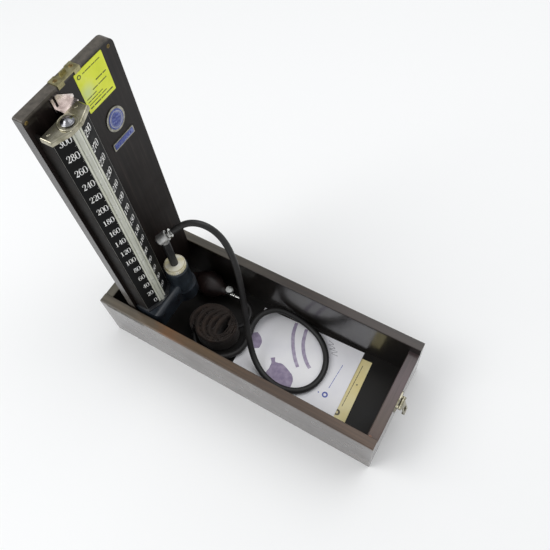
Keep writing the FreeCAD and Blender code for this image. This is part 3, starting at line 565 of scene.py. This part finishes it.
THIN, MID, THICK, BALL = 0.026, 0.05, 0.08, 0.078
NUMERAL_STROKES = {
    "0": [[(.31, 1, THIN), (.52, .88, MID), (.56, .5, THICK), (.52, .12, MID), (.31, 0, THIN),
           (.10, .12, MID), (.06, .5, THICK), (.10, .88, MID), (.31, 1, THIN)]],
    "1": [[(.33, .99, THICK), (.33, .5, THICK), (.33, .02, THICK)],
          [(.33, .97, THIN), (.22, .9, THIN), (.12, .84, THIN)],
          [(.10, .02, THIN), (.32, .02, THIN), (.55, .02, THIN)]],
    "2": [[(.14, .72, BALL), (.12, .9, THIN), (.3, 1, THIN), (.5, .92, MID), (.53, .72, THICK),
           (.36, .42, MID), (.1, .12, THIN), (.07, .04, THIN)],
          [(.07, .05, THIN), (.26, .1, THICK), (.44, .04, THICK), (.57, .24, THIN)]],
    "3": [[(.13, .8, BALL), (.16, .95, THIN), (.32, 1, THIN), (.5, .92, MID), (.5, .7, THICK),
           (.36, .55, THIN), (.24, .53, THIN)],
          [(.24, .53, THIN), (.42, .5, MID), (.54, .3, THICK), (.5, .08, MID), (.3, 0, THIN),
           (.13, .05, THIN), (.11, .2, BALL)]],
    "4": [[(.44, 1, THIN), (.24, .65, THIN), (.05, .3, THIN)],
          [(.04, .3, THIN), (.3, .3, THIN), (.6, .3, THIN)],
          [(.44, .99, THICK), (.44, .5, THICK), (.44, .02, THICK)],
          [(.27, .02, THIN), (.44, .02, THIN), (.6, .02, THIN)]],
    "5": [[(.15, .94, THICK), (.32, .91, THICK), (.52, .99, THIN)],
          [(.13, .97, THIN), (.12, .75, THIN), (.11, .52, THIN)],
          [(.11, .52, THIN), (.3, .63, THIN), (.5, .54, MID), (.54, .3, THICK), (.48, .07, MID),
           (.28, 0, THIN), (.11, .06, THIN), (.11, .2, BALL)]],
    "6": [[(.48, .84, BALL), (.47, .96, THIN), (.32, 1, THIN), (.14, .84, MID), (.06, .45, THICK),
           (.12, .1, MID), (.3, 0, THIN), (.5, .1, MID), (.55, .32, THICK), (.46, .55, MID),
           (.3, .6, THIN), (.14, .48, THIN)]],
    "7": [[(.07, .76, THIN), (.1, .93, THICK), (.34, .92, THICK), (.56, .97, THIN)],
          [(.56, .97, THIN), (.42, .62, MID), (.3, .3, THICK), (.29, .03, THICK)]],
    "8": [[(.31, 1, THIN), (.46, .93, MID), (.49, .77, THICK), (.43, .6, MID), (.31, .54, THIN),
           (.19, .6, MID), (.13, .77, THICK), (.16, .93, MID), (.31, 1, THIN)],
          [(.31, .54, THIN), (.49, .46, MID), (.55, .27, THICK), (.49, .07, MID), (.31, 0, THIN),
           (.13, .07, MID), (.07, .27, THICK), (.13, .46, MID), (.31, .54, THIN)]],
}
NUMERAL_STROKES["9"] = [[(.62 - x, 1 - y, w) for x, y, w in stroke]
                        for stroke in NUMERAL_STROKES["6"]]


def pen(points, steps=5):
    """A brushed line through (u, v, half width) points, as four-sided outlines.

    The line passes through its points on a Catmull-Rom curve.
    """
    line, outlines = [], []
    for i in range(len(points) - 1):
        p0, p1, p2, p3 = (Vector(points[min(max(i + d, 0), len(points) - 1)])
                          for d in (-1, 0, 1, 2))
        for k in range(steps + (i == len(points) - 2)):
            t = k / steps
            line.append(0.5 * (2 * p1 + (p2 - p0) * t + (2 * p0 - 5 * p1 + 4 * p2 - p3) * t * t
                               + (3 * p1 - p0 - 3 * p2 + p3) * t ** 3))
    sides = []
    for i, spot in enumerate(line):
        ahead = (line[min(i + 1, len(line) - 1)] - line[max(i - 1, 0)]).xy
        side = ahead.orthogonal().normalized() * spot.z
        sides.append((spot.xy + side, spot.xy - side))
    for (a, b), (c, d) in zip(sides, sides[1:]):
        outlines.append([a, b, d, c])
    return outlines


numeral_white = ink("scale_numeral_white", "#f0efe8", "#ffffff", 0.4)
edge_highlight_ink = ink("painted_plate_edge_highlight", "#5f5d58", "#8a8882", 0.4)
RIDGE_X, EAVE_X, COLUMN_Y = 73.0, 66.0, 39.0
RIDGE_HALF, EAVE_HALF = 4.7, 22.0
PRINT_PROUD = 0.06
ZERO_MARK, MARK_GAP, TOP_MARK = 99.2, 0.968, 300
PLATE_LOW, PLATE_HIGH, EDGE_INSET = 91.0, 393.0, 0.7
NUMERAL_TALL, NUMERAL_PITCH, NUMERAL_SLIM, NUMERAL_INSET = 7.8, 4.1, 0.77, 2.0
for name, side, tens in (("left", -1, range(0, TOP_MARK + 1, 20)),
                         ("right", 1, range(10, TOP_MARK, 20))):
    ridge = Vector((RIDGE_X, COLUMN_Y + side * RIDGE_HALF))
    slope = Vector((EAVE_X, COLUMN_Y + side * EAVE_HALF)) - ridge
    reach = slope.length
    slope.normalize()
    proud = Vector((slope.y, -slope.x)) * side * PRINT_PROUD

    def on_plate(u, v, ridge=ridge, slope=slope, proud=proud):
        spot = ridge + slope * u + proud
        return at(spot.x, spot.y, v)
    outlines = []
    for value in tens:
        level = ZERO_MARK + value * MARK_GAP
        text = str(value)
        wide = len(text) * NUMERAL_PITCH
        first = NUMERAL_INSET + (wide if side < 0 else 0.0)
        for i, digit in enumerate(text):
            for stroke in NUMERAL_STROKES[digit]:
                for outline in pen(stroke):
                    shaped = []
                    for p in outline:
                        u = i * NUMERAL_PITCH + p.x * NUMERAL_TALL * NUMERAL_SLIM
                        shaped.append(Vector((first + side * u,
                                              level + (p.y - 0.5) * NUMERAL_TALL)))
                    outlines.append(shaped)
    for mark in range(0, TOP_MARK + 1, 2):
        level = ZERO_MARK + mark * MARK_GAP
        long, wide = (1.5, 0.25) if mark % 10 == 0 else (0.8, 0.15)
        outlines += bar(0.6, level, 0.6 + long, level, wide)
    printed("scale_numerals_" + name, outlines, on_plate, numeral_white, "lid")
    # Painted highlight: a thin grey line along the plate's outer edge.
    edge = reach - EDGE_INSET
    printed("scale_plate_edge_highlight_" + name, bar(edge, PLATE_LOW, edge, PLATE_HIGH, 0.35), on_plate,
            edge_highlight_ink, "lid")


# The manometer tube: opal-backed glass in a pale enamelled channel, with mercury at zero and
# leather washers at both ends.
material, tree, shader = surface("opal_backed_glass", Roughness=0.3, IOR=1.5, Coat_Weight=1.0,
                                 Coat_Roughness=0.05, Transmission_Weight=0.25)
place = add(tree, "TexCoord").outputs["Object"]
cloud = add(tree, "TexNoise", {"Vector": place, "Scale": 70.0, "Detail": 3.0}).outputs[0]
tint = add(tree, "ValToRGB", {"Fac": cloud},
           stops=[(0.3, shade("#e4e5d8")), (0.8, shade("#d3d4c2"))])
smear = add(tree, "MapRange", {"Value": cloud, 3: 0.2, 4: 0.4})
tree.links.new(tint.outputs[0], shader.inputs["Base Color"])
tree.links.new(smear.outputs[0], shader.inputs["Roughness"])
wear(material, "glass_tube")
wear(enamel("pale_strip_enamel", ("#cccdbb", "#d8d9c9", "#e2e2d6"), None, 0.3, 40.0),
     "tube_backing")
wear(metal("liquid_mercury", "#d2d2d4", "#c2c2c6", 0.03, 20.0), "tube_mercury",
     "reservoir_mercury")
wear(rubber("leather_washer", "#4a2f1d", "#7a5537", 0.8), "tube_washers")


# The head bracket: a nickelled pressing over the column's top, with a raised round boss, a
# rolled lip round it and a chromed dome nut that clamps the tube.
def turned(name, profile, centre, axis, steps=56):
    """Spin a half profile of (radius, height) points, in millimetres, about an axis."""
    axis = Vector(axis).normalized()
    side = axis.orthogonal().normalized()
    mesh = bpy.data.meshes.new(name)
    spots = [centre + side * r / 1000 + axis * h / 1000 for r, h in profile]
    mesh.from_pydata(spots, [(i, i + 1) for i in range(len(spots) - 1)], [])
    made = bpy.data.objects.new(name, mesh)
    bpy.context.scene.collection.objects.link(made)
    deselect()
    made.select_set(True)
    bpy.context.view_layer.objects.active = made
    bpy.ops.object.mode_set(mode="EDIT")
    bpy.ops.mesh.select_all(action="SELECT")
    bpy.ops.mesh.spin(steps=steps, angle=2 * math.pi, center=centre, axis=axis)
    bpy.ops.mesh.select_all(action="SELECT")
    bpy.ops.mesh.remove_doubles(threshold=1e-6)
    bpy.ops.mesh.normals_make_consistent(inside=False)
    bpy.ops.object.mode_set(mode="OBJECT")
    return made


def arc(centre_r, centre_h, radius, start, end, steps=8):
    """Points along an arc of a half profile, angles in degrees."""
    return [(centre_r + radius * math.cos(math.radians(start + (end - start) * i / steps)),
             centre_h + radius * math.sin(math.radians(start + (end - start) * i / steps)))
            for i in range(steps + 1)]


wear(nickel, "head_bracket", "bracket_screws", "nut_stud")
wear(metal("bright_tinned_plate", "#ece3df", "#bdb1ad", 0.2, 9.0), "hanger_plate")
boss_top = at(67.5, 39.0, 399.7)
lip = turned("bracket_boss_lip", [(8.0, -0.5)] + arc(9.0, 0.0, 0.8, 180, 0) + [(9.9, -0.55)],
             boss_top, (0, 0, 1))
finish_piece(lip, nickel, "lid")
chrome = metal("polished_chrome", "#c8c8c4", "#9c9c98", 0.07, 9.0)
dome = turned("chromed_dome_nut",
              [(2.1, 0.3), (6.0, 0.3), (6.2, 0.5), (6.2, 1.3), (5.7, 1.6), (5.0, 1.7)]
              + arc(0.0, -2.2, 6.1, 42, 90, 8),
              boss_top, (0, 0, 1))
finish_piece(dome, metal("worn_nut_chrome", "#96969a", "#626266", 0.1, 6.0), "dome_nut_body",
             ("dome_nut",))


# The iron foot and the reservoir: an enamelled casting, a turned pot with a knurled ivory cap,
# a black stem and the greyed nickel elbow, with a chromed ring, that the hose pushes on to.
foot_enamel = enamel("blue_black_enamel", ("#14181d", "#1e242b", "#2b333b"), "#5a5b58", 0.26)
wear(foot_enamel, "iron_foot")
wear(enamel("blue_grey_pot_enamel", ("#1d2228", "#282f36", "#363f48"), "#5a5b58", 0.3),
     "reservoir_pot")
wear(metal("bare_foot_strip", "#6f7072", "#3c3f43", 0.34, 4.0), "foot_strip")
wear(metal("blackened_screws", "#63676b", "#2c2e31", 0.3, 3.0), "foot_screws")
wear(enamel("black_stem_lacquer", ("#131314", "#1a1a1c", "#232326"), None, 0.38),
     "reservoir_stem")
wear(metal("greyed_nickel", "#c9c9c6", "#8f908f", 0.42, 7.0), "hose_elbow")
wear(chrome, "elbow_ring")

CAP_CENTRE = at(73.5, 76.0, 0.0)
material, tree, shader = surface("yellowed_ivory_cap", Roughness=0.32, IOR=1.5)
where = add(tree, "TexCoord").outputs["Object"]
cloud = add(tree, "TexNoise", {"Vector": where, "Scale": 130.0, "Detail": 4.0}).outputs[0]
tone = add(tree, "ValToRGB", {"Fac": cloud},
           stops=[(0.3, shade("#e2d69c")), (0.5, shade("#f6efd2")), (0.75, shade("#fdfaee"))])
flat = add(tree, "VectorMath", {0: where, 1: (1.0, 1.0, 0.0)}, operation="MULTIPLY").outputs[0]
spread = add(tree, "VectorMath", {0: flat, 1: CAP_CENTRE},
             operation="DISTANCE").outputs["Value"]
grime = add(tree, "MapRange", {"Value": spread, 1: 0.0125, 2: 0.0136, 3: 0.75, 4: 0.0})
deep = add(tree, "MapRange", {"Value": spread, 1: 0.0118, 2: 0.0124}).outputs[0]
grime = add(tree, "Math", {0: grime.outputs[0], 1: deep}, operation="MULTIPLY").outputs[0]
tone = add(tree, "Mix", {0: grime, 6: tone.outputs[0], 7: shade("#8d7d4b")}, data_type="RGBA")
tree.links.new(tone.outputs[2], shader.inputs["Base Color"])
wear(material, "reservoir_cap")


# The cuff: a long padded band of dark cotton, rolled up loosely round its bladder and stood on
# its edge. The band is thick where the bladder lies and pinched at its two sewn hems.
CUFF_TURNS, CUFF_COLUMNS, CUFF_ROUND = 4.6, 420, 28
PUFF_LIMIT = 0.0015
THREAD_MM = 0.9


def cuff_point(turns_in):
    """Centre of the band after a number of turns inwards, in tray millimetres."""
    share = turns_in / CUFF_TURNS
    angle = -2.4 - turns_in * 2 * math.pi
    centre = Vector((127.0, 58.0)).lerp(Vector((140.0, 64.0)), share)
    wide, deep = 32.6 - 29.0 * share, 27.0 - 11.5 * share
    return centre + Vector((wide * math.cos(angle), deep * math.sin(angle)))


cuff_low, cuff_high = (c.z * 1000 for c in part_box("rolled_cuff"))
spots, faces = [], []
walked = 0.0
for i in range(CUFF_COLUMNS + 1):
    turns_in = CUFF_TURNS * i / CUFF_COLUMNS
    here, before = cuff_point(turns_in), cuff_point(turns_in - 0.003)
    side = (cuff_point(turns_in + 0.003) - before).orthogonal().normalized()
    walked += (here - cuff_point(turns_in - CUFF_TURNS / CUFF_COLUMNS)).length
    thick = min(0.47 * (here - cuff_point(turns_in + 1)).length, 3.6)
    pinch = min(1.0, 0.25 + i / 8, 0.25 + (CUFF_COLUMNS - i) / 8)
    crest = 0.9 * noise.noise(Vector((walked / 19, 3.1, 0)))
    top = cuff_high - 1.3 - 0.5 * turns_in + crest
    for k in range(CUFF_ROUND):
        turn = 2 * math.pi * k / CUFF_ROUND
        up = math.copysign(abs(math.sin(turn)) ** 0.4, math.sin(turn))
        out = math.copysign(abs(math.cos(turn)) ** 0.8, math.cos(turn))
        z = (top + cuff_low) / 2 + up * (top - cuff_low) / 2
        fold = 0.45 * noise.noise(Vector((walked / 9, z / 30, turns_in)))
        fold += 0.25 * noise.noise(Vector((walked / 3.5, z / 9, 7.7)))
        spot = here + side * (out * thick * pinch + fold * pinch)
        spots.append(at(spot.x, spot.y, z))
for i in range(CUFF_COLUMNS):
    for k in range(CUFF_ROUND):
        a, b = i * CUFF_ROUND + k, i * CUFF_ROUND + (k + 1) % CUFF_ROUND
        faces.append((a, b, b + CUFF_ROUND, a + CUFF_ROUND))
last = CUFF_COLUMNS * CUFF_ROUND
faces += [tuple(range(CUFF_ROUND - 1, -1, -1)), tuple(range(last, last + CUFF_ROUND))]
mesh = bpy.data.meshes.new("rolled_cotton_cuff")
mesh.from_pydata(spots, [], faces)
cuff = bpy.data.objects.new("rolled_cotton_cuff", mesh)
bpy.context.scene.collection.objects.link(cuff)
deselect()
cuff.select_set(True)
bpy.context.view_layer.objects.active = cuff
bpy.ops.object.mode_set(mode="EDIT")
bpy.ops.mesh.select_all(action="SELECT")
bpy.ops.mesh.normals_make_consistent(inside=False)
bpy.ops.object.mode_set(mode="OBJECT")

# The bladder's slack air puffs the cloth: it is pinned low down and swells a little on top.
mesh.remesh_voxel_size = 0.0015
bpy.ops.object.voxel_remesh()
before = [v.co.copy() for v in mesh.vertices]
held = cuff.vertex_groups.new(name="held")
held.add([v.index for v in mesh.vertices if v.co.z < at(0, 0, cuff_low + 9).z], 1.0,
         "REPLACE")
puff = cuff.modifiers.new("puff", "CLOTH")
puff.settings.quality = 4
puff.settings.use_pressure = True
puff.settings.uniform_pressure_force = 3.0
puff.settings.effector_weights.gravity = 0.0
puff.settings.vertex_group_mass = "held"
for step in range(1, 17):
    bpy.context.scene.frame_set(step)
bpy.ops.object.modifier_apply(modifier="puff")
bpy.context.scene.frame_set(1)
for spot, was in zip(cuff.data.vertices, before):
    moved = spot.co - was
    spot.co = was + moved * min(1.0, PUFF_LIMIT / max(moved.length, 1e-9))
cuff.vertex_groups.clear()

# Twilled cotton, its threads drawn a little coarser than they are so that they show.
material, tree, shader = surface("dark_cotton_twill", Roughness=0.8, Sheen_Weight=0.12,
                                 Sheen_Roughness=0.4)
place = add(tree, "TexCoord").outputs["Object"]
WAVES = 2 * math.pi / 20 / (THREAD_MM / 1000)
warp = add(tree, "TexWave", {"Vector": place, "Scale": WAVES, "Distortion": 0.4},
           wave_type="BANDS", bands_direction="DIAGONAL").outputs[1]
weft = add(tree, "TexWave", {"Vector": place, "Scale": WAVES, "Distortion": 0.4},
           wave_type="BANDS", bands_direction="Z").outputs[1]
weave = add(tree, "Math", {0: warp, 1: weft}, operation="MULTIPLY").outputs[0]
cloud = add(tree, "TexNoise", {"Vector": place, "Scale": 60.0, "Detail": 5.0}).outputs[0]
tone = add(tree, "ValToRGB", {"Fac": cloud},
           stops=[(0.3, shade("#160e09")), (0.55, shade("#231811")), (0.75, shade("#39281c"))])
tone = add(tree, "Mix", {0: weave, 6: tone.outputs[0], 7: shade("#2c1e14")}, data_type="RGBA")
bump = add(tree, "Bump", {"Height": weave, "Strength": 0.4, "Distance": 0.0003})
tree.links.new(tone.outputs[2], shader.inputs["Base Color"])
tree.links.new(bump.outputs[0], shader.inputs["Normal"])
finish_piece(cuff, material, "case", ("rolled_cuff",))


# The inflation bulb: thick rubber, moulded in two halves with a faint seam, with a chromed air
# inlet at one end and the release valve with its knurled screw at the other.
bulb_rubber = rubber("red_brown_rubber", "#1a1110", "#33211d", 0.7)
profile = [(0, 0.2), (4.4, 0.2), (5.6, 0.6), (6.0, 1.8), (6.6, 3.4)]
for i in range(1, 24):
    t = i / 24
    profile.append((max(6.6, 17.3 * math.sin(math.pi * t) ** 0.62), 2.5 + t * 52))
profile += [(6.0, 55.2), (5.2, 56.4), (4.2, 56.8), (0, 56.8)]
BULB_MOUTH, BULB_AXIS = at(114.0, 109.0, 24.0), (-1, 0, 0)
bulb = turned("rubber_inflation_bulb", profile, BULB_MOUTH, BULB_AXIS)
finish_piece(bulb, bulb_rubber, "case", ("inflation_bulb",))
seam = turned("bulb_mould_seam", [(17.2, 27.6)] + arc(17.25, 28.5, 0.28, -90, 90, 4)
              + [(17.2, 29.4)], BULB_MOUTH, BULB_AXIS, 72)
finish_piece(seam, bulb_rubber, "case")
wear(chrome, "bulb_air_inlet", "release_valve", "release_screw")


# The papers: a white coated leaflet with faint purple drawings lies over a cream card.
# Both are thin sheets with the gentle waves and lifted corners of old paper.
def leaflet_height(x, y):
    """Level of the leaflet's upper side, in tray millimetres."""
    on_card = min(max((x - 188) / 24, 0), 1)
    lift = 1.6 * max(0, (182 - x) / 18) ** 2 + 0.9 * max(0, (x - 300) / 15) ** 2 * (y / 125)
    return 6.55 + 0.75 * on_card * on_card * (3 - 2 * on_card) + lift \
        + 0.22 * noise.noise(Vector((x / 34, y / 34, 0.5)))


def card_height(x, y):
    """Level of the card's upper side, in tray millimetres."""
    return 6.7 + 0.5 * max(0, (x - 317) / 12) ** 2 + 0.1 * noise.noise(Vector((x / 40, y / 40, 9)))


def paper_sheet(name, corner, size, degrees, height, thick, cells):
    """A sheet turned about its far right corner and laid by its height function."""
    deselect()
    bpy.ops.mesh.primitive_grid_add(x_subdivisions=cells[0], y_subdivisions=cells[1], size=1.0,
                                    location=(0, 0, 0))
    made = bpy.context.object
    made.name = name
    turn = Matrix.Rotation(math.radians(degrees), 2)
    for spot in made.data.vertices:
        flat = Vector(corner) + turn @ Vector(((spot.co.x - 0.5) * size[0],
                                               (spot.co.y - 0.5) * size[1]))
        spot.co = at(flat.x, flat.y, height(flat.x, flat.y))
    bpy.ops.object.modifier_add(type="SOLIDIFY")
    made.modifiers[0].thickness = thick / 1000
    made.modifiers[0].offset = -1.0
    bpy.ops.object.modifier_apply(modifier=made.modifiers[0].name)
    return made


def paper(name, tones, rough):
    """Coated or plain paper: even, with slight yellowing and a fine tooth."""
    material, tree, shader = surface(name, Roughness=rough, IOR=1.45)
    place = add(tree, "TexCoord").outputs["Object"]
    cloud = add(tree, "TexNoise", {"Vector": place, "Scale": 22.0, "Detail": 5.0}).outputs[0]
    tone = add(tree, "ValToRGB", {"Fac": cloud},
               stops=[(0.3, shade(tones[0])), (0.5, shade(tones[1])), (0.72, shade(tones[2]))])
    fine = add(tree, "TexNoise", {"Vector": place, "Scale": 1500.0})
    bump = add(tree, "Bump", {"Height": fine.outputs[0], "Strength": 0.1, "Distance": 0.0001})
    tree.links.new(tone.outputs[0], shader.inputs["Base Color"])
    tree.links.new(bump.outputs[0], shader.inputs["Normal"])
    return material


leaflet = paper_sheet("white_leaflet", (314.6, 124.5), (148.0, 105.0), 1.8, leaflet_height,
                      0.3, (74, 52))
finish_piece(leaflet, paper("coated_white_paper", ("#f1f0f5", "#f8f7fa", "#fdfcfd"), 0.38),
             "case", ("leaflet",))
card = paper_sheet("cream_card", (329.0, 117.0), (124.0, 98.0), 2.6, card_height, 0.5, (62, 49))
finish_piece(card, paper("cream_card_board", ("#dcca86", "#e8d99e", "#f0e6b8"), 0.55),
             "case", ("card",))


def on_leaflet(u, v):
    """A printed point on the leaflet."""
    return at(u, v, leaflet_height(u, v) + PRINT_PROUD)


def on_card(u, v):
    """A printed point on the card."""
    return at(u, v, card_height(u, v) + PRINT_PROUD)


purple = ink("faint_purple_print", "#8d7f9c", "#a99cb4", 0.45)
pale_purple = ink("pale_purple_print", "#9f93ad", "#bfb5c9", 0.45)
shapes = pen([(216, 120, 2.2), (219.4, 105, 2.4), (227.1, 90, 2.4), (237.4, 76, 2.3),
              (247.5, 66, 2.2)], 12)
shapes += pen([(232, 118, 2.2), (237, 100.5, 2.4), (245, 87, 2.4), (254.8, 77, 2.3),
               (262, 72.2, 2.2)], 12)
printed("leaflet_tube_drawing", shapes, on_leaflet, pale_purple, "case")
shapes = pen([(212.6, 62, 3.0), (216.3, 57, 2.6), (219, 54.5, 6.0), (223.3, 51, 12.0),
              (230.5, 43, 17.4), (237, 36.5, 18.0), (244.3, 28, 11.0)], 12)
shapes += pen([(173, 81, 4.0), (178, 75, 7.5), (182, 69, 8.0), (186, 63, 4.0)], 8)
printed("leaflet_bulb_drawing", shapes, on_leaflet, purple, "case")
blue_ink = ink("leaflet_blue_print", "#3f4fa6", "#6472bd", 0.45)
shapes = ring(295.3, 50.7, 1.9, 3.8) + ring(286.6, 49.7, 0.0, 0.9)
shapes += words(295.7, 60.7, 297.3, 96.4, 0.7, (4, 2, 5, 3, 4, 2, 4))
printed("leaflet_blue_mark", shapes, on_leaflet, blue_ink, "case")
pencil = ink("pencil_line", "#8b898f", "#b4b2b8", 0.5)
shapes = pen([(266, 118, .3), (274, 116, .3), (268, 113, .3), (278, 112, .3), (272, 108, .3),
              (283, 109, .3), (277, 104, .3), (286, 104, .3)], 8)
printed("leaflet_pencil_note", shapes, on_leaflet, pencil, "case")
brown_ink = ink("card_dark_print", "#3c372f", "#6b6352", 0.5)
shapes = ring(318.5, 38.5, 1.7, 3.9) + ring(324.7, 81.6, 0.0, 1.0)
shapes += words(320.6, 48, 320.2, 108, 0.8, (3, 5, 2, 4, 3, 6, 2, 4, 3, 5))
printed("card_printing", shapes, on_card, brown_ink, "case")
